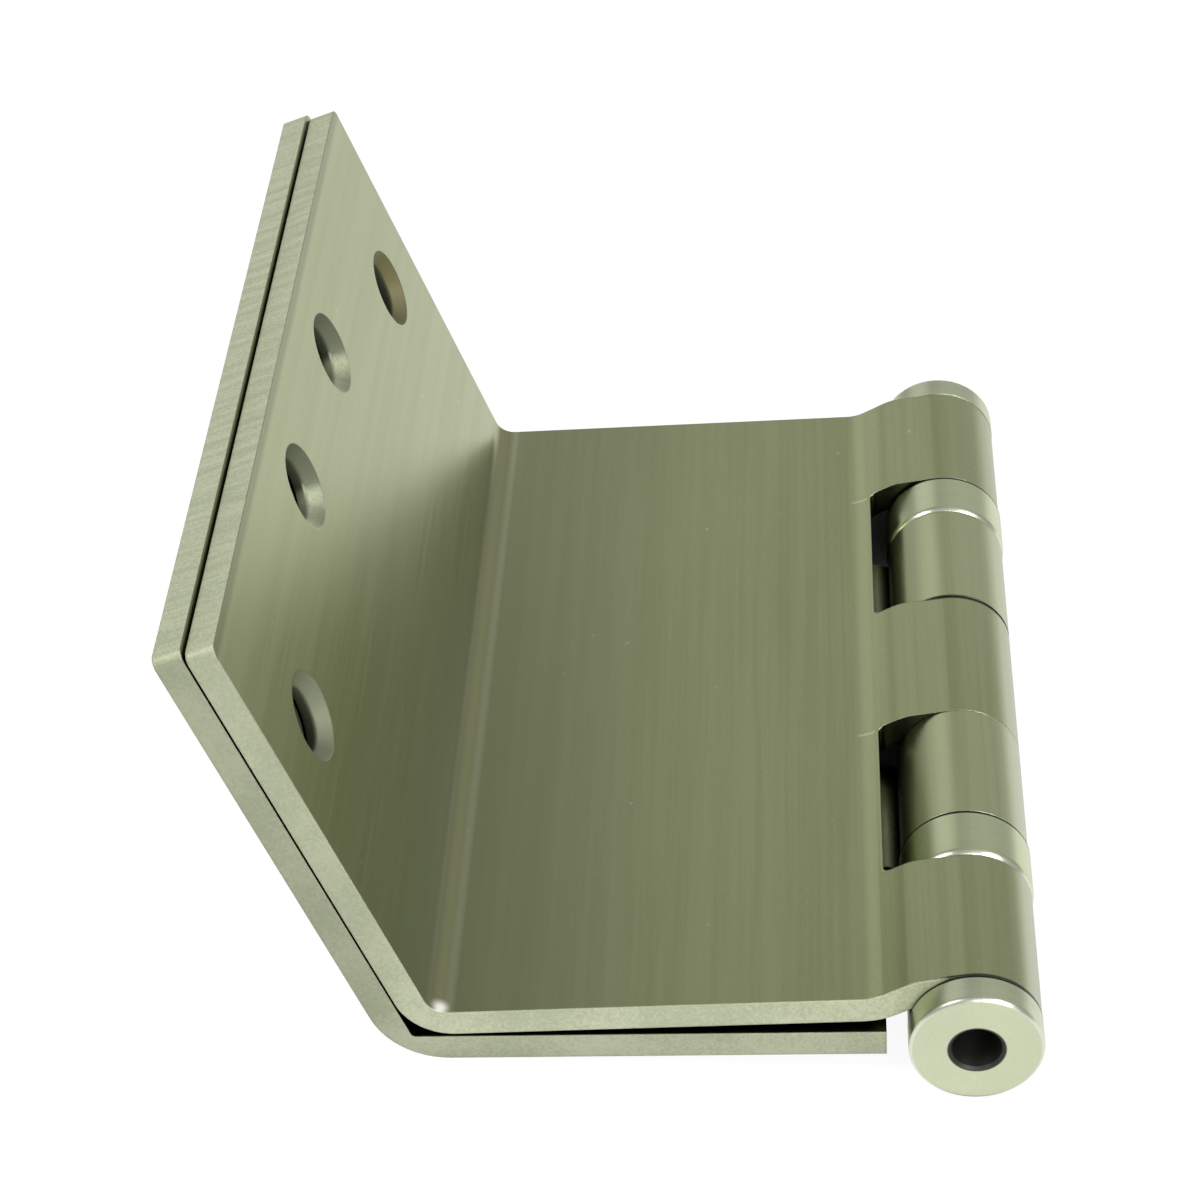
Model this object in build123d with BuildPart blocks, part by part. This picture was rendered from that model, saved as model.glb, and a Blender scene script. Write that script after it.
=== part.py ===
from build123d import *
from math import acos, atan2, cos, degrees, hypot, radians, sin, tan
import os

# Swing clear hinge, closed, lying on its outer leaf and its barrel
# Millimetres. +Y runs along the pin, +X from the mounting flanges to the barrel, +Z up.
# The head end of the pin is the far end, +Y. The tip end, with the drive-out hole, is -Y.
# The origin is under the middle of the hinge, on the surface that it lies on.

# Driving dimensions
hinge_length = 114.3  # of the leaves, along the pin
leaf_thickness = 3.2
pin_radius = 4.07
pin_clearance = 0.03  # radial, pin to knuckle bore
ring_radius = 7.5  # bearing shells, the widest turned pieces on the barrel

# Stations along the pin
end_knuckle = 19.85
bearing_length = 7.6
middle_knuckle = 22.5
far_knuckle_gap = 0.3  # middle knuckle to its far neighbour, with all the end play
near_knuckle_gap = 0.05

# Leaf section, measured from the pin axis
inner_face_height = 4.3  # inner leaf's concave face, above the axis
outer_gap_face = 0.9  # outer leaf's gap face, below the axis
wedge_angle = 1.6  # the two plates open by this much towards the barrel
bend_to_pin = 59.05  # inner leaf's concave corner, along the plate
inner_bend = 108.0  # between plate and flange
flange_height = 53.4  # from the concave corner
outer_flange_extra = 0.7
flange_gap = 0.25
inner_bend_radius = 2.6
inner_bend_outside_radius = 6.6
outer_bend_radius = 0.5
outer_bend_outside_radius = 9.0
flange_corner_radius = 1.2

# The jog that carries each plate to the outside of the barrel, later on the outer leaf
jog_shoulder = 6.2  # from the pin axis, along the plate
jog_shoulder_height = 6.6
inner_jog_start = 10.9
inner_jog_start_radius = 5.0
inner_jog_shoulder_radius = 6.0
inner_curl_end = 165.0  # angle at which the rolled knuckle stops, short of its own plate
outer_jog_start = 8.6
outer_jog_start_radius = 2.2
outer_jog_shoulder_radius = 4.0
outer_curl_end = 172.0

# Notches that clear the other leaf's knuckles
inner_notch_edge = 9.35
outer_notch_edge = 9.6
notch_corner_radius = 0.8

# Screw holes, countersunk from both faces
screw_hole_radius = 3.75
countersink_radius = 5.0
countersink_angle = 82.0
outer_hole_spacing = 88.0
outer_hole_height = 33.2  # up the flange from the concave corner
inner_hole_spacing = 28.0
inner_hole_height = 43.0

# Pin head, and the matching plug in the tip end of the barrel
cap_radius = 7.35
cap_length = 3.8
cap_rim_radius = 0.6
cap_inner_chamfer = 0.25
plug_depth = 7.0
plug_clearance = 0.02
drive_out_radius = 2.75
drive_out_chamfer = 0.3
pin_end_chamfer = 0.6
pin_to_plug = 0.5

# Thrust bearings
ball_count = 12
ball_radius = 1.0
ball_pitch_radius = 5.5
groove_radius = 1.06
race_gap = 1.8
race_bore_clearance = 0.05  # radial, over the size of the knuckle bore
shell_wall = 0.6
shell_corner_radius = 1.0
shell_bore_step = 0.25  # shell's closed end back from the bore of the races
shell_seam = 0.3
race_relief = 0.45
cup_race_clearance = 0.02
cone_race_clearance = 0.15
cage_thickness = 0.8
cage_bore_step = 0.15
cage_clearance = 0.1
pocket_radius = 1.06

# Derived sizes
half_length = hinge_length / 2
bore_radius = pin_radius + pin_clearance
barrel_radius = bore_radius + leaf_thickness
end_knuckle_face = half_length - end_knuckle
bearing_inner_face = end_knuckle_face - bearing_length
middle_face = middle_knuckle / 2
past_barrel = barrel_radius + leaf_thickness  # reach of a cut that clears the barrel
outer_bend = inner_bend + wedge_angle
outer_face_depth = outer_gap_face + leaf_thickness
race_bore_radius = bore_radius + race_bore_clearance
shell_bore_radius = race_bore_radius + shell_bore_step
shell_inner_radius = ring_radius - shell_wall
cage_bore_radius = race_bore_radius + cage_bore_step


def polar(radius, angle):
    return Vector(radius * cos(radians(angle)), radius * sin(radians(angle)))


def flipped(points):
    return [Vector(point.X, -point.Y) for point in points]


def offset_points(points, distance):
    """The run of points moved to its right by distance, with its corners mitred."""
    runs = [(end - start).normalized() for start, end in zip(points, points[1:])]
    rights = [Vector(run.Y, -run.X) for run in runs]
    moved = []
    for index, point in enumerate(points):
        before = rights[max(index - 1, 0)]
        after = rights[min(index, len(rights) - 1)]
        moved.append(point + (before + after) * (distance / (1 + before.dot(after))))
    return moved


def jog_points(jog_start, face_height):
    """A plate's far face from the start of its jog to where it becomes the barrel."""
    shoulder = Vector(-jog_shoulder, jog_shoulder_height)
    return [Vector(-jog_start, face_height), shoulder, polar(barrel_radius, meeting_angle)]


def jog_radii(start_radius, shoulder_radius):
    """Fillets of the far face's jog on the way out, and of the near face's on the way back."""
    far = [start_radius, shoulder_radius, 0]
    near = [0, shoulder_radius - leaf_thickness, start_radius + leaf_thickness]
    return far + near


def curl_opening(end_angle):
    """The wedge of a knuckle's ring between its own plate and the end of its curl."""
    return [
        Vector(0, 0),
        polar(2 * barrel_radius, meeting_angle),
        polar(3 * barrel_radius, (meeting_angle + end_angle) / 2),
        polar(2 * barrel_radius, end_angle),
    ]


# Where the jog runs tangent into the rolled knuckle
meeting_angle = degrees(
    atan2(jog_shoulder_height, -jog_shoulder)
    - acos(barrel_radius / hypot(jog_shoulder, jog_shoulder_height))
)

# Corner between plate and flange, and flange end, of the inner leaf in its own section
inner_corner = Vector(-bend_to_pin, inner_face_height)
inner_flange_top = inner_corner + polar(flange_height, inner_bend)
flange_level = inner_corner.dot(polar(1, inner_bend))
flange_distance = -inner_corner.dot(polar(1, inner_bend - 90))

# The same for the outer leaf, whose flange lies against the inner one
outer_flange_distance = flange_distance + leaf_thickness + flange_gap
outer_gap_corner_x = (
    outer_gap_face * sin(radians(outer_bend - 90)) - outer_flange_distance
) / cos(radians(outer_bend - 90))
outer_corner = Vector(
    outer_gap_corner_x - leaf_thickness / tan(radians(outer_bend / 2)),
    -outer_face_depth,
)
outer_flange_height = (
    flange_height + outer_flange_extra + flange_level - outer_corner.dot(polar(1, outer_bend))
)
outer_flange_top = outer_corner + polar(outer_flange_height, outer_bend)

# The hinge rests on its bearing shells and on the round outside of the outer bend
bend_centre = Vector(
    outer_corner.X + outer_bend_outside_radius / tan(radians(outer_bend / 2)),
    outer_bend_outside_radius - outer_face_depth,
)
rest_tilt = degrees(
    acos((outer_bend_outside_radius - ring_radius) / bend_centre.length)
    - atan2(-bend_centre.X, bend_centre.Y)
)
pin_x = (-outer_flange_top.rotate(Axis.Z, rest_tilt).X - ring_radius) / 2
pin_z = ring_radius
pin_axis = Axis((pin_x, 0, pin_z), (0, 1, 0))


def section_plane(tilt, station=0):
    """A plane across the pin at a station along Y, seen from the tip end."""
    x_dir = (cos(radians(tilt)), 0, sin(radians(tilt)))
    return Plane(origin=(pin_x, station, pin_z), x_dir=x_dir, z_dir=(0, -1, 0))


def plan_plane(section):
    """A plane through the pin axis along a leaf's plate: x across the pin, y along it."""
    return Plane(origin=section.origin, x_dir=section.x_dir, z_dir=section.y_dir)


def turning_plane(station):
    """A plane for half sections of turned pieces: x along the pin, y the radius."""
    return Plane(origin=(pin_x, station, pin_z), x_dir=(0, 1, 0), z_dir=(1, 0, 0))


def flange_face(section, bend, corner, side):
    """A plane on a flange's face: x along the pin, y up from the concave corner's level."""
    up = polar(1, bend)
    foot = corner + up * (flange_level - corner.dot(up))
    origin = section.from_local_coords(foot)
    upward = section.from_local_coords(up) - section.origin
    normal = section.from_local_coords(polar(side, bend - 90)) - section.origin
    return Plane(origin=origin, x_dir=upward.cross(normal), z_dir=normal)


inner_section = section_plane(rest_tilt + wedge_angle)
outer_section = section_plane(rest_tilt)

# Plate outlines: far faces look away from the other leaf, near faces look at it
inner_far = [inner_flange_top, inner_corner] + jog_points(inner_jog_start, inner_face_height)
inner_near = offset_points(inner_far, leaf_thickness)
inner_jog_radii = jog_radii(inner_jog_start_radius, inner_jog_shoulder_radius)
inner_radii = [0, inner_bend_radius] + inner_jog_radii + [inner_bend_outside_radius, 0]
outer_jog = flipped(jog_points(outer_jog_start, outer_face_depth))
outer_far = [outer_flange_top, outer_corner] + outer_jog
outer_near = offset_points(outer_far, -leaf_thickness)
outer_jog_radii = jog_radii(outer_jog_start_radius, outer_jog_shoulder_radius)
outer_radii = [0, outer_bend_outside_radius] + outer_jog_radii + [outer_bend_radius, 0]

hole_places = [
    (-outer_hole_spacing / 2, outer_hole_height),
    (-inner_hole_spacing / 2, inner_hole_height),
    (inner_hole_spacing / 2, inner_hole_height),
    (outer_hole_spacing / 2, outer_hole_height),
]

# Inner leaf, with the two end knuckles and the middle one
with BuildPart() as inner_leaf:
    with BuildSketch(inner_section):
        Circle(barrel_radius)
        Circle(bore_radius, mode=Mode.SUBTRACT)
        with BuildLine():
            Polyline(*curl_opening(inner_curl_end), close=True)
        make_face(mode=Mode.SUBTRACT)
        with BuildLine():
            FilletPolyline(*inner_far, *reversed(inner_near), radius=inner_radii, close=True)
        make_face()
    extrude(amount=half_length, both=True)
    with BuildSketch(plan_plane(inner_section)) as inner_notches:
        notch_width = inner_notch_edge + past_barrel
        with Locations((-inner_notch_edge, middle_face)):
            Rectangle(notch_width, end_knuckle_face - middle_face, align=(Align.MIN, Align.MIN))
        with Locations((-inner_notch_edge, -middle_face)):
            Rectangle(notch_width, end_knuckle_face - middle_face, align=(Align.MIN, Align.MAX))
        fillet(inner_notches.vertices().group_by(Axis.X)[0], notch_corner_radius)
    extrude(amount=past_barrel, both=True, mode=Mode.SUBTRACT)
    thickness_edges = inner_leaf.edges().filter_by(
        lambda edge: abs(edge.length - leaf_thickness) < pin_clearance
    )
    fillet(thickness_edges.sort_by(Axis.Z)[-2:], flange_corner_radius)
    for corner, side in ((inner_corner, 1), (inner_near[1], -1)):
        with Locations(flange_face(inner_section, inner_bend, corner, side)):
            with Locations(*hole_places):
                CounterSinkHole(
                    screw_hole_radius, countersink_radius, 2 * leaf_thickness, countersink_angle
                )
inner_leaf.part.label = "inner_leaf"

# Outer leaf, with the two knuckles between them
with BuildPart() as outer_leaf:
    with BuildSketch(outer_section):
        Circle(barrel_radius)
        Circle(bore_radius, mode=Mode.SUBTRACT)
        with BuildLine():
            Polyline(*flipped(curl_opening(outer_curl_end)), close=True)
        make_face(mode=Mode.SUBTRACT)
        with BuildLine():
            FilletPolyline(*outer_far, *reversed(outer_near), radius=outer_radii, close=True)
        make_face()
    extrude(amount=half_length, both=True)
    with BuildSketch(plan_plane(outer_section)) as outer_notches:
        notch_width = outer_notch_edge + past_barrel
        middle_notch = near_knuckle_gap + middle_knuckle + far_knuckle_gap
        with Locations((-outer_notch_edge, -middle_face - near_knuckle_gap)):
            Rectangle(notch_width, middle_notch, align=(Align.MIN, Align.MIN))
        end_notch = half_length + past_barrel - bearing_inner_face
        with Locations((-outer_notch_edge, bearing_inner_face)):
            Rectangle(notch_width, end_notch, align=(Align.MIN, Align.MIN))
        with Locations((-outer_notch_edge, -bearing_inner_face)):
            Rectangle(notch_width, end_notch, align=(Align.MIN, Align.MAX))
        fillet(outer_notches.vertices().group_by(Axis.X)[0], notch_corner_radius)
    extrude(amount=past_barrel, both=True, mode=Mode.SUBTRACT)
    thickness_edges = outer_leaf.edges().filter_by(
        lambda edge: abs(edge.length - leaf_thickness) < pin_clearance
    )
    fillet(thickness_edges.sort_by(Axis.Z)[-2:], flange_corner_radius)
    for corner, side in ((outer_near[1], 1), (outer_corner, -1)):
        with Locations(flange_face(outer_section, outer_bend, corner, side)):
            with Locations(*hole_places):
                CounterSinkHole(
                    screw_hole_radius, countersink_radius, 2 * leaf_thickness, countersink_angle
                )
outer_leaf.part.label = "outer_leaf"

# Hinge pin, with its flat button head at the far end
with BuildPart() as hinge_pin:
    shank_start = -half_length + plug_depth + pin_to_plug
    with BuildSketch(turning_plane(0)) as pin_profile:
        with Locations((shank_start, 0)):
            Rectangle(half_length - shank_start, pin_radius, align=(Align.MIN, Align.MIN))
        chamfer(pin_profile.vertices().group_by(Axis.X)[0].sort_by(Axis.Y)[-1], pin_end_chamfer)
        with Locations((half_length, 0)):
            Rectangle(cap_length, cap_radius, align=(Align.MIN, Align.MIN))
        rim = pin_profile.vertices().group_by(Axis.Y)[-1].sort_by(Axis.X)
        fillet(rim[-1], cap_rim_radius)
        chamfer(rim[0], cap_inner_chamfer)
    revolve(axis=pin_axis)
hinge_pin.part.label = "hinge_pin"

# Plug in the tip end, bored so that the pin can be driven out
with BuildPart() as pin_plug:
    with BuildSketch(turning_plane(-half_length)) as plug_profile:
        Rectangle(plug_depth, bore_radius - plug_clearance, align=(Align.MIN, Align.MIN))
        chamfer(plug_profile.vertices().sort_by(Axis.X)[-2:].sort_by(Axis.Y)[-1], pin_end_chamfer)
        Rectangle(cap_length, cap_radius, align=(Align.MAX, Align.MIN))
        rim = plug_profile.vertices().group_by(Axis.Y)[-1].sort_by(Axis.X)
        fillet(rim[0], cap_rim_radius)
        chamfer(rim[-1], cap_inner_chamfer)
        with Locations((-cap_length, 0)):
            Rectangle(
                cap_length + plug_depth, drive_out_radius, align=(Align.MIN, Align.MIN), mode=Mode.SUBTRACT
            )
        mouth = plug_profile.vertices().group_by(Axis.X)[0].sort_by(Axis.Y)[0]
        chamfer(mouth, drive_out_chamfer)
    revolve(axis=pin_axis)
pin_plug.part.label = "pin_plug"

os.makedirs("parts", exist_ok=True)
for leaf in (inner_leaf, outer_leaf):
    export_step(leaf.part, f"parts/{leaf.part.label}.step")
export_step(hinge_pin.part, "parts/hinge_pin.step")
export_step(pin_plug.part, "parts/pin_plug.step")

# Thrust bearings, both with the closed end of the shell towards the tip end
race_thickness = (bearing_length - race_gap) / 2
ball_station = race_thickness + race_gap / 2
for end, base in (("head_end", bearing_inner_face), ("tip_end", -end_knuckle_face)):
    # Shell, a drawn cup with a round corner, seated on the knuckle at its closed end
    with BuildPart() as bearing_shell:
        with BuildSketch(turning_plane(base)):
            with BuildLine():
                FilletPolyline(
                    (0, shell_bore_radius),
                    (0, ring_radius),
                    (bearing_length - shell_seam, ring_radius),
                    (bearing_length - shell_seam, shell_inner_radius),
                    (shell_wall, shell_inner_radius),
                    (shell_wall, shell_bore_radius),
                    radius=[0, shell_corner_radius, 0, 0, shell_corner_radius - shell_wall, 0],
                    close=True,
                )
            make_face()
        revolve(axis=pin_axis)
    bearing_shell.part.label = f"{end}_bearing_shell"
    export_step(bearing_shell.part, f"parts/{end}_bearing_shell.step")

    # Cup race, seated inside the shell
    with BuildPart() as cup_race:
        with BuildSketch(turning_plane(base)) as cup_profile:
            with Locations((shell_wall, race_bore_radius)):
                Rectangle(
                    race_thickness - shell_wall,
                    shell_inner_radius - cup_race_clearance - race_bore_radius,
                    align=(Align.MIN, Align.MIN),
                )
            chamfer(cup_profile.vertices().group_by(Axis.X)[0].sort_by(Axis.Y)[-1], race_relief)
            with Locations((ball_station, ball_pitch_radius)):
                Circle(groove_radius, mode=Mode.SUBTRACT)
        revolve(axis=pin_axis)
    cup_race.part.label = f"{end}_cup_race"
    export_step(cup_race.part, f"parts/{end}_cup_race.step")

    # Cone race, seated on the next knuckle
    with BuildPart() as cone_race:
        with BuildSketch(turning_plane(base)):
            with Locations((bearing_length, race_bore_radius)):
                Rectangle(
                    race_thickness,
                    shell_inner_radius - cone_race_clearance - race_bore_radius,
                    align=(Align.MAX, Align.MIN),
                )
            with Locations((ball_station, ball_pitch_radius)):
                Circle(groove_radius, mode=Mode.SUBTRACT)
        revolve(axis=pin_axis)
    cone_race.part.label = f"{end}_cone_race"
    export_step(cone_race.part, f"parts/{end}_cone_race.step")

    # Ball cage, a flat ring with a pocket for each ball
    with BuildPart() as ball_cage:
        with BuildSketch(section_plane(0, base + ball_station)):
            Circle(shell_inner_radius - cage_clearance)
            Circle(cage_bore_radius, mode=Mode.SUBTRACT)
            with PolarLocations(ball_pitch_radius, ball_count):
                Circle(pocket_radius, mode=Mode.SUBTRACT)
        extrude(amount=cage_thickness / 2, both=True)
    ball_cage.part.label = f"{end}_ball_cage"
    export_step(ball_cage.part, f"parts/{end}_ball_cage.step")

    # Balls
    for index in range(ball_count):
        around = polar(ball_pitch_radius, 360 * index / ball_count)
        with BuildPart() as ball:
            with Locations((pin_x + around.X, base + ball_station, pin_z + around.Y)):
                Sphere(ball_radius)
        ball.part.label = f"{end}_ball_{index + 1:02d}"
        export_step(ball.part, f"parts/{end}_ball_{index + 1:02d}.step")
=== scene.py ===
"""Looks of the swing clear hinge: satin steel leaves and barrel on a white floor."""

import bpy
from mathutils import Matrix, Vector

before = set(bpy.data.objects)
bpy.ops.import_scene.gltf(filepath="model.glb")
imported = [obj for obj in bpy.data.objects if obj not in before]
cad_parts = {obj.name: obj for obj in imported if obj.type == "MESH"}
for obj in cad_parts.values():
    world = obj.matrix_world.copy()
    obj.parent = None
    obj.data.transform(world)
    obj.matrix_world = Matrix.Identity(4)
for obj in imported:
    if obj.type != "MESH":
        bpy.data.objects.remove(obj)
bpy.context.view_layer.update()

# Camera at the photograph's viewpoint, in metres
SENSOR_WIDTH_MM = 36.0
LENS_MM = 101.378
CAMERA_PLACE = Vector((0.00968, -0.325821, 0.262429))
CAMERA_RIGHT = Vector((0.999026, 0.043984, 0.003396))
CAMERA_DOWN = Vector((0.028893, -0.594202, -0.803796))
CAMERA_FORWARD = Vector((-0.033336, 0.803112, -0.594895))
NEAREST_SEEN = 0.01
FARTHEST_SEEN = 20.0

# Directions: across the leaves, along the pin, up, out of the flanges' faces and up the flanges
X_AXIS = (1.0, 0.0, 0.0)
Y_AXIS = (0.0, 1.0, 0.0)
Z_AXIS = (0.0, 0.0, 1.0)
FLANGE_NORMAL = (0.920613, 0.0, 0.390476)
FLANGE_UP = (-0.390476, 0.0, 0.920613)

# Places in the rest pose, in metres
INNER_EDGE_LEVEL = 0.06723  # end of the inner leaf's flange, along FLANGE_UP
OUTER_EDGE_LEVEL = 0.06793  # end of the outer leaf's flange, along FLANGE_UP
INNER_FACE_LEVEL = -0.015563  # face of the inner flange, along FLANGE_NORMAL
BEND_X = -0.0189
JOG_X = 0.0323
PIN_X = 0.039474
PIN_Z = 0.0075
LOW_HOLE = (-0.0357, 0.044, 0.0359)  # middle of the pair of flanges
HIGH_HOLE = (-0.0395, 0.014, 0.045)
HOLE_HALF_SIZE = 0.0052
GLINT_PLACE = (-0.0188, -0.0565, 0.0088)
NOTCH_MARKS = ((0.0284, 0.0367, 0.0106), (0.0284, -0.0117, 0.0106))
NOTCH_MARK_HALF_SIZES = (0.0009, 0.00008, 0.003)

# Painted shade in seams: their stations along the pin
RING_SEAMS = (0.037, -0.030)
CAP_SEAMS = (-0.05715,)
LEAF_SEAMS = (0.0114, -0.05715)

# Steel and brass colours, linear
LEAF_COLOUR = (0.36, 0.394, 0.21, 1.0)
LEAF_PALE = (0.42, 0.454, 0.257, 1.0)
OUTER_COLOUR = (0.43, 0.468, 0.267, 1.0)
OUTER_PALE = (0.49, 0.528, 0.315, 1.0)
CUT_COLOUR = (0.46, 0.50, 0.335, 1.0)
CUT_PALE = (0.60, 0.635, 0.45, 1.0)
CUT_SHADE = (0.22, 0.24, 0.16, 1.0)
EDGE_COLOUR = (0.62, 0.66, 0.45, 1.0)
FOOT_LIGHT_COLOUR = (0.58, 0.625, 0.48, 1.0)
BEND_BROWN = (0.355, 0.345, 0.19, 1.0)
WALL_SHADE_COLOUR = (0.06, 0.068, 0.045, 1.0)
HOLE_SHADED_STEEL = (0.125, 0.137, 0.098, 1.0)
HOLE_PALE = (0.195, 0.212, 0.143, 1.0)
HOLE_BROWN = (0.16, 0.137, 0.06, 1.0)
BORE_SHADE_COLOUR = (0.06, 0.064, 0.056, 1.0)
GLINT_COLOUR = (0.95, 0.95, 0.86, 1.0)
CAVITY_SHADE_COLOUR = (0.02, 0.025, 0.014, 1.0)
RING_COLOUR = (0.54, 0.592, 0.372, 1.0)
RING_PALE = (0.575, 0.63, 0.40, 1.0)
CAP_COLOUR = (0.53, 0.575, 0.40, 1.0)
CAP_PALE = (0.60, 0.645, 0.455, 1.0)
RIM_HIGHLIGHT_COLOUR = (0.72, 0.75, 0.62, 1.0)
RACE_COLOUR = (0.60, 0.60, 0.57, 1.0)
RACE_PALE = (0.70, 0.70, 0.66, 1.0)
BRASS_COLOUR = (0.62, 0.44, 0.17, 1.0)
BRASS_PALE = (0.72, 0.54, 0.24, 1.0)

# Noise: features per metre along x, y and z, then detail and roughness
ALONG_PIN = (2600.0, 30.0, 2600.0)
ROUND_PIN = (60.0, 3200.0, 60.0)
GROOVE_NOISE = (3.0, 0.6)
STREAK_NOISE = (2.0, 0.5)
STREAK_SCALE = 0.22  # of the grooves' own
CLOUDS = ((45.0, 22.0, 45.0), 3.0, 0.55)
GRAIN = ((3000.0, 3000.0, 3000.0), 2.0, 0.7)
SPECKS = ((520.0, 520.0, 520.0), 1.0, 0.5)
SHEAR_RIPPLES = ((90.0, 800.0, 90.0), 3.0, 0.6)

# Satin steel. A fade holds a mask's bounds: the mask is 0 at the first and 1 at the second
LEAF_ROUGHNESS = 0.31
RING_ROUGHNESS = 0.28
CAP_ROUGHNESS = 0.31
RACE_ROUGHNESS = 0.19
BRASS_ROUGHNESS = 0.31
ANISOTROPY = 0.5
ROUGHNESS_FADE = (0.25, 0.75)  # grooves' height
GROOVE_DEPTH = 0.00005
GRAIN_RELIEF = 0.3
TONE_WEIGHTS = (0.25, 0.35, 0.15, 0.25)  # of grooves, streaks, clouds and grain
TONE_FADE = (0.38, 0.62)
SPECK_FADE = (0.785, 0.81)
SPECK_STRENGTH = 0.6
EDGE_SAMPLES = 6
EDGE_HIGHLIGHT_FADE = (0.99, 0.85)  # how far the rounded normal agrees with the flat one
EDGE_HIGHLIGHT_STRENGTH = 0.35
CAVITY_SAMPLES = 8
CAVITY_SHADE_REACH = 0.004
CAVITY_SHADE_FADE = (0.6, 0.2)  # share of the surroundings that is open

# Turned steel: painted highlights on the rims, by the normal's share along the pin, and painted
# shade in the seams and the bore
TURNED_BRUSH_TURN = 0.25  # of a full turn, about the surface's normal
TURNED_BUMP = 0.015
TURNED_EDGE_WIDTH = 0.00015
TURNED_UNEVENNESS = 0.01
RIM_FROM_SIDE = (0.2, 0.5)
RIM_FROM_END = (0.97, 0.9)
RIM_HIGHLIGHT_STRENGTH = 0.8
TURNED_SEAM_FADE = (0.0004, 0.0002)
BORE_FADE = (0.0033, 0.0031)  # distance from the pin's axis
BORE_MOUTH_FADE = (-0.05, -0.0505)  # station along the pin
BORE_ROUGHER = 0.25

# Leaves: fades by place, in metres, or by the normal's share along a direction
LEAF_BRUSH_TURN = 0.0
LEAF_BUMP = 0.03
LEAF_EDGE_WIDTH = 0.0003
LEAF_UNEVENNESS = 0.06
OUTER_CAVITY_REACH = 0.006
SHADE_TONE = 0.6
ON_FACE_FADE = (0.9, 0.98)
BEND_SHADE_START = 0.016
BEND_SHADE_STRENGTH = 0.64
BEND_SHADE_SPARED = 0.72  # share that the flange's face is spared
FOOT_START = -0.031
FOOT_LIGHT_STRENGTH = 0.75
FOOT_STATIONS = (0.05, -0.03, 0.15, 1.0)  # stations along the pin, then the strengths there
JOG_SHADE = (0.0018, 0.0006, 0.0, 0.4)  # distances from JOG_X, then the strengths there
SIDE_SHADE = (PIN_X + 0.003, PIN_X + 0.0065, 0.0, 0.3)
BEND_LINES = (  # offset from BEND_X, fade, strength, colour
    (-0.0004, (0.0016, 0.0002), 0.4, BEND_BROWN),
    (0.0011, (0.0008, 0.0001), 0.28, CUT_PALE),
)
BAND_SHADE_OFFSETS = (0.0017, 0.0008)  # below the end of the flange
BAND_SHADE_STRENGTH = 0.8
GLINT_SQUEEZE = (1.0, 0.8, 0.0)  # of its offsets, so longer along the pin
GLINT_RADIUS_FADE = (0.0013, 0.0001)
GLINT_HEIGHT_FADE = (0.0033, 0.003)
GLINT_STRENGTH = 0.9
GLINT_DULLNESS = 0.8
MARK_SOFTNESS = 0.0002
MARK_STRENGTH = 0.7
HOLE_SOFTNESS = 0.0002
HOLE_DEPTH_FADE = (0.0012, 0.0019)
FAR_HOLE_FADE = (0.03, 0.035)
NEAR_HOLE_FADE = (-0.03, -0.035)
HOLE_STRENGTH = 0.85
HOLE_DULLNESS = 0.55
HOLE_ROUGHER = 0.25
CUT_FADE = (0.35, 0.6)
LEAF_END_FADE = (0.0555, 0.0562)  # distance from the hinge's middle, along the pin
FLANGE_TOP_FADE = (0.05, 0.055)
WALL_FADE = (0.8, 0.95)
WALL_START_FADE = (0.0, 0.01)
# Tones of the sheared faces: painted shade on the ends, painted light on the flanges' tops
INNER_END_TONE = 0.88
OUTER_END_TONE = 0.70
FLANGE_TOP_TONE = 1.08
FLANGE_END_SHADE = (BEND_X - 0.001, BEND_X - 0.009, 0.0, 0.35)
CUT_DULLNESS = 0.45
CUT_ROUGHER = 0.22
CUT_RELIEF = 3.0
ON_BARREL_FADE = (PIN_X - 0.0045, PIN_X - 0.003)
LEAF_SEAM_FADE = (0.00045, 0.0003)
LEAF_SEAM_STRENGTH = 0.85

# Floor
FLOOR_REACH = 4.0
FLOOR_GLOW = 0.92
FLOOR_SEEN = (0.14, 0.14, 0.14, 1.0)  # what the floor throws back, where it is seen
FLOOR_UNSEEN = (0.8, 0.8, 0.8, 1.0)  # what it throws back as it lights the hinge
FLOOR_SAMPLES = 16
FLOOR_SHADOW_REACH = 0.012
FLOOR_SHADOW_FADE = (0.5, 0.15)  # share of the surroundings that is open
FLOOR_REFLECTED_SHADE = (0.95, 0.45, 0.0, 0.5)
FLOOR_SHADOW_START = (-0.046, -0.042)  # station along the pin

# Studio
WHITE = (1.0, 1.0, 1.0, 1.0)
HEIGHT_TONE = (0.05, 0.75, 0.54, 0.45)  # share of the direction upwards, then the tones there
LEFT_TO_RIGHT_TONE = (-0.3, 0.15, 0.84, 1.18)
FAR_RIGHT_TONE = (0.3, 0.8, 1.0, 0.7)
WINDOW_DIRECTION = (-0.377, 0.803, 0.462)
WINDOW_TONE = (0.962, 0.988, 0.0, 0.45)
SOFTBOXES = (  # name, place, target, width, height, watts
    ("front_softbox", (0.35, -0.9, 0.55), (0.0, 0.0, 0.02), 0.7, 0.5, 6.0),
    ("right_softbox", (0.65, -0.32, 0.85), (0.02, 0.0, 0.01), 0.36, 0.36, 3.6),
    ("left_softbox", (-0.65, -0.32, 0.85), (0.02, 0.0, 0.01), 0.36, 0.36, 3.6),
)


def feed(tree, socket, value):
    """Links a socket to another one, or sets its value."""
    if isinstance(value, bpy.types.NodeSocket):
        tree.links.new(value, socket)
    else:
        socket.default_value = value


def add_node(tree, kind, **settings):
    """A node with its settings, where a key that names an input feeds that socket."""
    node = tree.nodes.new(kind)
    for key, value in settings.items():
        if hasattr(node, key):
            setattr(node, key, value)
        else:
            feed(tree, node.inputs[key.replace("_", " ")], value)
    return node


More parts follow.
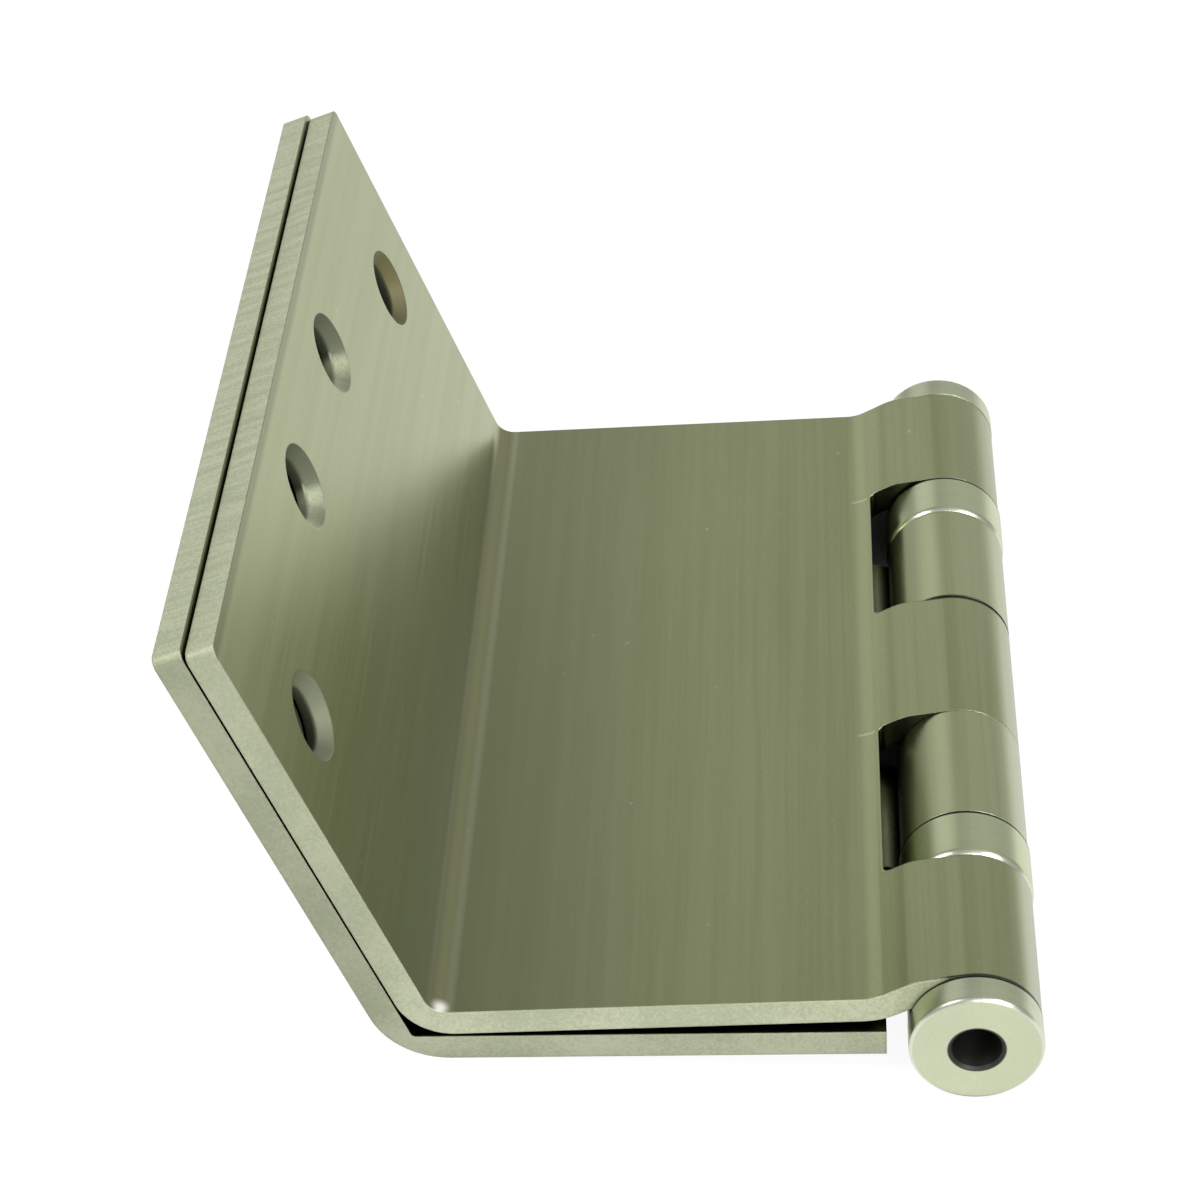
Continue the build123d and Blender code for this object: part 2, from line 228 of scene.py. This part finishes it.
def maths(tree, operation, *operands):
    """A maths node on sockets or numbers; gives its output socket."""
    node = add_node(tree, "ShaderNodeMath", operation=operation)
    for socket, value in zip(node.inputs, operands):
        feed(tree, socket, value)
    return node.outputs[0]


def product(tree, *factors):
    """The factors multiplied in turn."""
    result = factors[0]
    for factor in factors[1:]:
        result = maths(tree, "MULTIPLY", result, factor)
    return result


def weighted_sum(tree, *terms):
    """The sum of sockets, each given with its weight."""
    result = None
    for socket, weight in terms:
        part = product(tree, socket, weight)
        result = part if result is None else maths(tree, "ADD", result, part)
    return result


def remainder(tree, share):
    """What a share leaves of 1."""
    return maths(tree, "SUBTRACT", 1.0, share)


def distance(tree, value, place):
    """How far a value is from a place on its own axis."""
    return maths(tree, "ABSOLUTE", maths(tree, "SUBTRACT", value, place))


def vector_maths(tree, operation, *operands):
    """A vector maths node on sockets or triples; gives its output socket."""
    node = add_node(tree, "ShaderNodeVectorMath", operation=operation)
    for socket, value in zip(node.inputs, operands):
        feed(tree, socket, value)
    return node.outputs["Value" if operation in ("DOT_PRODUCT", "LENGTH") else "Vector"]


def along(tree, vector, direction):
    """The length of a vector socket along a direction."""
    return vector_maths(tree, "DOT_PRODUCT", vector, direction)


def remap(tree, value, low, high, to_low=0.0, to_high=1.0):
    """A smooth step from to_low, where the value is low, to to_high, where it is high."""
    node = add_node(
        tree, "ShaderNodeMapRange", interpolation_type="SMOOTHSTEP", Value=value,
        From_Min=low, From_Max=high, To_Min=to_low, To_Max=to_high,
    )
    return node.outputs["Result"]


def stretched_noise(tree, coords, scale, detail, roughness):
    """Noise over coordinates in metres times a per-axis scale, so in features per metre."""
    mapping = add_node(tree, "ShaderNodeMapping", Vector=coords, Scale=scale)
    noise = add_node(
        tree, "ShaderNodeTexNoise", Vector=mapping.outputs["Vector"],
        Scale=1.0, Detail=detail, Roughness=roughness,
    )
    return noise.outputs["Fac"]


def mix_colour(tree, factor, first, second):
    """The first colour where the factor is 0 and the second where it is 1."""
    node = add_node(tree, "ShaderNodeMix", data_type="RGBA", Factor=factor)
    inputs = {socket.identifier: socket for socket in node.inputs}
    feed(tree, inputs["A_Color"], first)
    feed(tree, inputs["B_Color"], second)
    outputs = {socket.identifier: socket for socket in node.outputs}
    return outputs["Result_Color"]


def box_spot(tree, coords, centre, half_sizes, softness):
    """A soft-edged box mask around a place, in metres."""
    offset = vector_maths(tree, "SUBTRACT", coords, centre)
    parts = add_node(tree, "ShaderNodeSeparateXYZ", Vector=offset)
    insides = [
        remap(tree, maths(tree, "ABSOLUTE", socket), half + softness, half)
        for socket, half in zip(parts.outputs, half_sizes)
    ]
    return product(tree, *insides)


def round_spot(tree, coords, centre, squeeze, radius_fade, height_fade):
    """A soft-edged oval mask around a place, as seen from above, in metres."""
    offset = vector_maths(tree, "SUBTRACT", coords, centre)
    radius = vector_maths(tree, "LENGTH", vector_maths(tree, "MULTIPLY", offset, squeeze))
    height = maths(tree, "ABSOLUTE", along(tree, offset, Z_AXIS))
    return product(tree, remap(tree, radius, *radius_fade), remap(tree, height, *height_fade))


def toned(colour, tone):
    """A colour made darker or paler, still opaque."""
    return [part * tone for part in colour[:3]] + [1.0]


class Satin:
    """Satin steel in the making: fine grooves, cloudy tone, bright specks, edges paled by a
    painted highlight and hollows darkened by painted shade.
    """

    def __init__(self, name, colour, pale, roughness, grooves, brush_turn, bump, edge_width,
                 cavity_reach, unevenness):
        self.material = bpy.data.materials.new(name)
        self.material.use_nodes = True
        tree = self.tree = self.material.node_tree
        shader = self.shader = tree.nodes["Principled BSDF"]
        shader.inputs["Metallic"].default_value = 1.0
        shader.inputs["Anisotropic"].default_value = ANISOTROPY
        shader.inputs["Anisotropic Rotation"].default_value = brush_turn
        tangent = add_node(tree, "ShaderNodeTangent", direction_type="RADIAL", axis="Y")
        feed(tree, shader.inputs["Tangent"], tangent.outputs["Tangent"])
        where = tree.nodes.new("ShaderNodeTexCoord")
        self.coords = where.outputs["Object"]
        self.normal = where.outputs["Normal"]

        brush = stretched_noise(tree, self.coords, grooves, *GROOVE_NOISE)
        streak_scale = [part * STREAK_SCALE for part in grooves]
        streaks = stretched_noise(tree, self.coords, streak_scale, *STREAK_NOISE)
        clouds = stretched_noise(tree, self.coords, *CLOUDS)
        self.grain = stretched_noise(tree, self.coords, *GRAIN)
        specks = stretched_noise(tree, self.coords, *SPECKS)

        tone = weighted_sum(tree, *zip((brush, streaks, clouds, self.grain), TONE_WEIGHTS))
        self.surface = mix_colour(tree, remap(tree, tone, *TONE_FADE), colour, pale)
        self.paint(remap(tree, specks, *SPECK_FADE), EDGE_COLOUR, SPECK_STRENGTH)

        # Painted highlight on edges, where the rounded normal leaves the flat one
        bevel = add_node(tree, "ShaderNodeBevel", samples=EDGE_SAMPLES, Radius=edge_width)
        flat_normal = tree.nodes.new("ShaderNodeNewGeometry").outputs["Normal"]
        facing = along(tree, bevel.outputs["Normal"], flat_normal)
        self.paint(remap(tree, facing, *EDGE_HIGHLIGHT_FADE), EDGE_COLOUR, EDGE_HIGHLIGHT_STRENGTH)

        # Painted shade down in holes, seams and gaps
        cavity_shade = add_node(
            tree, "ShaderNodeAmbientOcclusion", samples=CAVITY_SAMPLES, Distance=cavity_reach,
        )
        self.cavity_shade = remap(tree, cavity_shade.outputs["AO"], *CAVITY_SHADE_FADE)

        smoothest, roughest = roughness - unevenness / 2, roughness + unevenness / 2
        self.rough = remap(tree, brush, *ROUGHNESS_FADE, smoothest, roughest)
        self.height = maths(tree, "ADD", brush, product(tree, self.grain, GRAIN_RELIEF))
        self.relief = add_node(
            tree, "ShaderNodeBump", Strength=bump, Distance=GROOVE_DEPTH,
            Normal=bevel.outputs["Normal"],
        )

    def paint(self, mask, colour, strength=None):
        """Lays a colour over the surface where the mask is 1."""
        if strength is not None:
            mask = product(self.tree, mask, strength)
        self.surface = mix_colour(self.tree, mask, self.surface, colour)

    def roughen(self, mask, amount):
        """Makes the surface rougher where the mask is 1."""
        more = product(self.tree, mask, amount)
        self.rough = maths(self.tree, "ADD", self.rough, more)

    def finish(self):
        """Joins colour, roughness and relief to the shader; gives the material."""
        # Painted shade in the hollows, laid over everything else
        self.paint(self.cavity_shade, CAVITY_SHADE_COLOUR)
        feed(self.tree, self.shader.inputs["Base Color"], self.surface)
        feed(self.tree, self.shader.inputs["Roughness"], self.rough)
        feed(self.tree, self.relief.inputs["Height"], self.height)
        feed(self.tree, self.shader.inputs["Normal"], self.relief.outputs["Normal"])
        return self.material


def turned_steel(name, colour, pale, roughness, seams=()):
    """Steel turned round the pin, with painted highlights on its round rims and painted shade in
    its seams and its bore.
    """
    steel = Satin(
        name, colour, pale, roughness, grooves=ROUND_PIN, brush_turn=TURNED_BRUSH_TURN,
        bump=TURNED_BUMP, edge_width=TURNED_EDGE_WIDTH, cavity_reach=CAVITY_SHADE_REACH,
        unevenness=TURNED_UNEVENNESS,
    )
    tree = steel.tree
    slope = maths(tree, "ABSOLUTE", along(tree, steel.normal, Y_AXIS))
    # Painted highlight on the round rims
    rim_highlight = product(
        tree, remap(tree, slope, *RIM_FROM_SIDE), remap(tree, slope, *RIM_FROM_END),
    )
    steel.paint(rim_highlight, RIM_HIGHLIGHT_COLOUR, RIM_HIGHLIGHT_STRENGTH)
    station = along(tree, steel.coords, Y_AXIS)
    # Painted shade in the seams
    for place in seams:
        seam_shade = remap(tree, distance(tree, station, place), *TURNED_SEAM_FADE)
        steel.paint(seam_shade, CAVITY_SHADE_COLOUR)
    # Painted shade down in the pin's bore, which is rougher too
    outward = vector_maths(
        tree, "MULTIPLY_ADD", steel.coords, (1.0, 0.0, 1.0), (-PIN_X, 0.0, -PIN_Z),
    )
    bore_shade = product(
        tree, remap(tree, vector_maths(tree, "LENGTH", outward), *BORE_FADE),
        remap(tree, station, *BORE_MOUTH_FADE),
    )
    steel.paint(bore_shade, BORE_SHADE_COLOUR)
    steel.roughen(bore_shade, BORE_ROUGHER)
    return steel.finish()


def leaf_steel(name, colour, pale, end_tone, edge_level, cavity_reach):
    """A leaf's steel: brushed along the pin, sheared at its ends, with marks and painted light
    and shade at bend and notches.
    """
    steel = Satin(
        name, colour, pale, LEAF_ROUGHNESS, grooves=ALONG_PIN, brush_turn=LEAF_BRUSH_TURN,
        bump=LEAF_BUMP, edge_width=LEAF_EDGE_WIDTH, cavity_reach=cavity_reach,
        unevenness=LEAF_UNEVENNESS,
    )
    tree = steel.tree
    shade_colour = toned(colour, SHADE_TONE)
    across = along(tree, steel.coords, X_AXIS)
    station = along(tree, steel.coords, Y_AXIS)
    from_middle = maths(tree, "ABSOLUTE", station)
    flange_height = along(tree, steel.coords, FLANGE_UP)
    facing = maths(tree, "ABSOLUTE", along(tree, steel.normal, FLANGE_NORMAL))
    on_face = remap(tree, facing, *ON_FACE_FADE)
    off_face = remainder(tree, on_face)

    # Painted shade beside the bend, apart from the foot of the flange's face, which gets painted
    # light instead
    shaded = remap(tree, across, BEND_SHADE_START, BEND_X, 0.0, BEND_SHADE_STRENGTH)
    kept = remainder(tree, product(tree, on_face, BEND_SHADE_SPARED))
    steel.paint(product(tree, shaded, kept), shade_colour)
    foot_light = remap(tree, across, FOOT_START, BEND_X, 0.0, FOOT_LIGHT_STRENGTH)
    foot_light = product(tree, foot_light, on_face, remap(tree, station, *FOOT_STATIONS))
    steel.paint(foot_light, FOOT_LIGHT_COLOUR)

    # Painted shade on the slope up to the knuckles and down their outer side
    slope = remap(tree, distance(tree, across, JOG_X), *JOG_SHADE)
    side = remap(tree, across, *SIDE_SHADE)
    steel.paint(maths(tree, "MAXIMUM", slope, side), shade_colour)

    # A brown line and a pale line, the pale one a painted highlight, where the sheet was bent
    from_bend = maths(tree, "SUBTRACT", across, BEND_X)
    for offset, fade, strength, tint in BEND_LINES:
        line = remap(tree, distance(tree, from_bend, offset), *fade)
        steel.paint(line, tint, strength)

    # Painted shade in a band beside the rolled-over sheared end of the flange
    band_start, band_end = (edge_level - offset for offset in BAND_SHADE_OFFSETS)
    band_shade = product(tree, remap(tree, flange_height, band_start, band_end), on_face)
    steel.paint(band_shade, shade_colour, BAND_SHADE_STRENGTH)

    # A painted highlight, a glint, at the near end of the bend, and stamping marks beside the
    # notches
    glint = round_spot(
        tree, steel.coords, GLINT_PLACE, GLINT_SQUEEZE, GLINT_RADIUS_FADE, GLINT_HEIGHT_FADE,
    )
    steel.paint(glint, GLINT_COLOUR, GLINT_STRENGTH)
    for place in NOTCH_MARKS:
        mark = box_spot(tree, steel.coords, place, NOTCH_MARK_HALF_SIZES, MARK_SOFTNESS)
        steel.paint(mark, EDGE_COLOUR, MARK_STRENGTH)

    # Dull machined holes darkened by painted shade, the far one browner and the near one paler,
    # and black with painted shade deep down
    hole_fade = (HOLE_HALF_SIZE + HOLE_SOFTNESS, HOLE_HALF_SIZE)
    insides = []
    for place in (LOW_HOLE, HIGH_HOLE):
        level = sum(part * way for part, way in zip(place, FLANGE_UP))
        beside = remap(tree, distance(tree, from_middle, place[1]), *hole_fade)
        above = remap(tree, distance(tree, flange_height, level), *hole_fade)
        insides.append(product(tree, beside, above))
    holes = product(tree, maths(tree, "MAXIMUM", *insides), off_face)
    depth = along(tree, steel.coords, FLANGE_NORMAL)
    depth = maths(tree, "SUBTRACT", INNER_FACE_LEVEL, depth)
    hole_colour = HOLE_SHADED_STEEL
    for mask, tint in (
        (remap(tree, station, *FAR_HOLE_FADE), HOLE_BROWN),
        (remap(tree, station, *NEAR_HOLE_FADE), HOLE_PALE),
        (remap(tree, depth, *HOLE_DEPTH_FADE), CAVITY_SHADE_COLOUR),
    ):
        hole_colour = mix_colour(tree, mask, hole_colour, tint)
    steel.paint(holes, hole_colour, HOLE_STRENGTH)

    # Painted shade on the walls inside the notches
    end_facing = maths(tree, "ABSOLUTE", along(tree, steel.normal, Y_AXIS))
    at_end = remap(tree, from_middle, *LEAF_END_FADE)
    walls = product(
        tree, remap(tree, end_facing, *WALL_FADE), remainder(tree, at_end),
        remap(tree, across, *WALL_START_FADE),
    )
    steel.paint(walls, WALL_SHADE_COLOUR)

    # Sheared faces scatter the light, with marks across the sheet; the ends and the flanges'
    # tops take their own tones as painted shade and light
    end_face = product(tree, remap(tree, end_facing, *CUT_FADE), at_end)
    top_face = product(
        tree, remap(tree, along(tree, steel.normal, FLANGE_UP), *CUT_FADE),
        remap(tree, flange_height, *FLANGE_TOP_FADE),
    )
    cut = maths(tree, "MAXIMUM", end_face, top_face)
    ripples = stretched_noise(tree, steel.coords, *SHEAR_RIPPLES)
    mottle = weighted_sum(tree, (steel.grain, 0.5), (ripples, 0.5))
    for mask, tone in ((end_face, end_tone), (top_face, FLANGE_TOP_TONE)):
        low, high = toned(CUT_COLOUR, tone), toned(CUT_PALE, tone)
        steel.paint(mask, mix_colour(tree, remap(tree, mottle, *TONE_FADE), low, high))
    # Painted shade on the flange's sheared end faces
    on_flange = remap(tree, across, *FLANGE_END_SHADE)
    steel.paint(product(tree, end_face, on_flange), CUT_SHADE)

    # Painted shade: dark lines in the open gap of the middle knuckle and against the tip
    on_barrel = remap(tree, across, *ON_BARREL_FADE)
    for place in LEAF_SEAMS:
        seam_shade = remap(tree, distance(tree, station, place), *LEAF_SEAM_FADE)
        steel.paint(product(tree, seam_shade, on_barrel), CAVITY_SHADE_COLOUR, LEAF_SEAM_STRENGTH)

    # Cut faces, the painted glint and the holes are dull, so less of a mirror
    dull = product(tree, cut, CUT_DULLNESS)
    for mask, dullness in ((glint, GLINT_DULLNESS), (holes, HOLE_DULLNESS)):
        dull = maths(tree, "MAXIMUM", dull, product(tree, mask, dullness))
    feed(tree, steel.shader.inputs["Metallic"], remainder(tree, dull))
    steel.roughen(cut, CUT_ROUGHER)
    steel.roughen(holes, HOLE_ROUGHER)
    cut_relief = product(tree, mottle, cut, CUT_RELIEF)
    steel.height = maths(tree, "ADD", steel.height, cut_relief)
    return steel.finish()


def floor_white():
    """White to the camera and in reflections, with the object's shadow kept faint and a painted
    shadow in its glow under the hinge.
    """
    material = bpy.data.materials.new("floor_white")
    material.use_nodes = True
    tree = material.node_tree
    tree.nodes.clear()
    path = tree.nodes.new("ShaderNodeLightPath").outputs
    surroundings = add_node(
        tree, "ShaderNodeAmbientOcclusion", samples=FLOOR_SAMPLES, Distance=FLOOR_SHADOW_REACH,
    )
    openness = surroundings.outputs["AO"]
    coords = tree.nodes.new("ShaderNodeTexCoord").outputs["Object"]

    # Painted shadow in the glow: darker under the hinge, and in reflections beside it too, but
    # not in front of its near end
    beside = product(
        tree, remap(tree, openness, *FLOOR_REFLECTED_SHADE), path["Is Glossy Ray"],
    )
    painted_floor_shadow = maths(tree, "MAXIMUM", remap(tree, openness, *FLOOR_SHADOW_FADE), beside)
    under = remap(tree, along(tree, coords, Y_AXIS), *FLOOR_SHADOW_START)
    glow = product(tree, remainder(tree, product(tree, painted_floor_shadow, under)), FLOOR_GLOW)
    lit = add_node(tree, "ShaderNodeBsdfDiffuse", Color=FLOOR_SEEN)
    glowing = add_node(tree, "ShaderNodeEmission", Color=WHITE, Strength=glow)
    seen_floor = tree.nodes.new("ShaderNodeAddShader")
    feed(tree, seen_floor.inputs[0], lit.outputs["BSDF"])
    feed(tree, seen_floor.inputs[1], glowing.outputs["Emission"])

    seen = maths(tree, "MAXIMUM", path["Is Camera Ray"], path["Is Glossy Ray"])
    seen = maths(tree, "MAXIMUM", seen, path["Is Transmission Ray"])
    matte = add_node(tree, "ShaderNodeBsdfDiffuse", Color=FLOOR_UNSEEN)
    either = add_node(tree, "ShaderNodeMixShader", Fac=seen)
    feed(tree, either.inputs[1], matte.outputs["BSDF"])
    feed(tree, either.inputs[2], seen_floor.outputs["Shader"])
    add_node(tree, "ShaderNodeOutputMaterial", Surface=either.outputs["Shader"])
    return material


def studio_world():
    """White behind, and a grey studio with one window for the metal to reflect."""
    world = bpy.data.worlds.new("studio")
    world.use_nodes = True
    tree = world.node_tree
    tree.nodes.clear()
    direction = tree.nodes.new("ShaderNodeTexCoord").outputs["Generated"]
    upward = along(tree, direction, Z_AXIS)
    sideward = along(tree, direction, X_AXIS)
    side_tone = product(
        tree, remap(tree, sideward, *LEFT_TO_RIGHT_TONE), remap(tree, sideward, *FAR_RIGHT_TONE),
    )
    walls = product(tree, remap(tree, upward, *HEIGHT_TONE), side_tone)
    window = remap(tree, along(tree, direction, WINDOW_DIRECTION), *WINDOW_TONE)
    tone = maths(tree, "ADD", walls, window)
    studio = add_node(tree, "ShaderNodeBackground", Color=WHITE, Strength=tone)
    backdrop = add_node(tree, "ShaderNodeBackground", Color=WHITE, Strength=1.0)
    path = tree.nodes.new("ShaderNodeLightPath").outputs
    either = add_node(tree, "ShaderNodeMixShader", Fac=path["Is Camera Ray"])
    feed(tree, either.inputs[1], studio.outputs["Background"])
    feed(tree, either.inputs[2], backdrop.outputs["Background"])
    add_node(tree, "ShaderNodeOutputWorld", Surface=either.outputs["Shader"])
    return world


def add_softbox(name, place, target, width, height, watts):
    """A soft rectangular lamp that faces a target."""
    data = bpy.data.lights.new(name, "AREA")
    data.shape = "RECTANGLE"
    data.size = width
    data.size_y = height
    data.energy = watts
    lamp = bpy.data.objects.new(name, data)
    lamp.location = place
    facing = Vector(target) - Vector(place)
    lamp.rotation_euler = facing.to_track_quat("-Z", "Y").to_euler()
    bpy.context.scene.collection.objects.link(lamp)


# Finishes, by the ends of the pieces' names; the bearings' other pieces are ground steel
cap_steel = turned_steel("cap_steel", CAP_COLOUR, CAP_PALE, CAP_ROUGHNESS, CAP_SEAMS)
race_steel = turned_steel("race_steel", RACE_COLOUR, RACE_PALE, RACE_ROUGHNESS)
finishes = {
    "inner_leaf": leaf_steel(
        "inner_leaf_steel", LEAF_COLOUR, LEAF_PALE, INNER_END_TONE, INNER_EDGE_LEVEL,
        CAVITY_SHADE_REACH,
    ),
    "outer_leaf": leaf_steel(
        "outer_leaf_steel", OUTER_COLOUR, OUTER_PALE, OUTER_END_TONE, OUTER_EDGE_LEVEL,
        OUTER_CAVITY_REACH,
    ),
    "bearing_shell": turned_steel(
        "ring_steel", RING_COLOUR, RING_PALE, RING_ROUGHNESS, RING_SEAMS,
    ),
    "ball_cage": turned_steel("cage_brass", BRASS_COLOUR, BRASS_PALE, BRASS_ROUGHNESS),
    "hinge_pin": cap_steel,
    "pin_plug": cap_steel,
}
for name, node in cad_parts.items():
    matches = [finish for ending, finish in finishes.items() if name.endswith(ending)]
    node.data.materials.clear()
    node.data.materials.append(matches[0] if matches else race_steel)

# Camera
camera_data = bpy.data.cameras.new("camera")
camera_data.sensor_width = SENSOR_WIDTH_MM
camera_data.lens = LENS_MM
camera_data.clip_start = NEAREST_SEEN
camera_data.clip_end = FARTHEST_SEEN
camera = bpy.data.objects.new("camera", camera_data)
turn = Matrix((CAMERA_RIGHT, -CAMERA_DOWN, -CAMERA_FORWARD)).transposed()
camera.matrix_world = Matrix.Translation(CAMERA_PLACE) @ turn.to_4x4()
bpy.context.scene.collection.objects.link(camera)
bpy.context.scene.camera = camera

# Floor
floor_mesh = bpy.data.meshes.new("floor")
corner_signs = ((-1, -1), (1, -1), (1, 1), (-1, 1))
corners = [(x * FLOOR_REACH, y * FLOOR_REACH, 0.0) for x, y in corner_signs]
floor_mesh.from_pydata(corners, [], [(0, 1, 2, 3)])
floor_mesh.materials.append(floor_white())
floor = bpy.data.objects.new("floor", floor_mesh)
bpy.context.scene.collection.objects.link(floor)

# Light
bpy.context.scene.world = studio_world()
for softbox in SOFTBOXES:
    add_softbox(*softbox)

bpy.context.scene.view_settings.view_transform = "Standard"
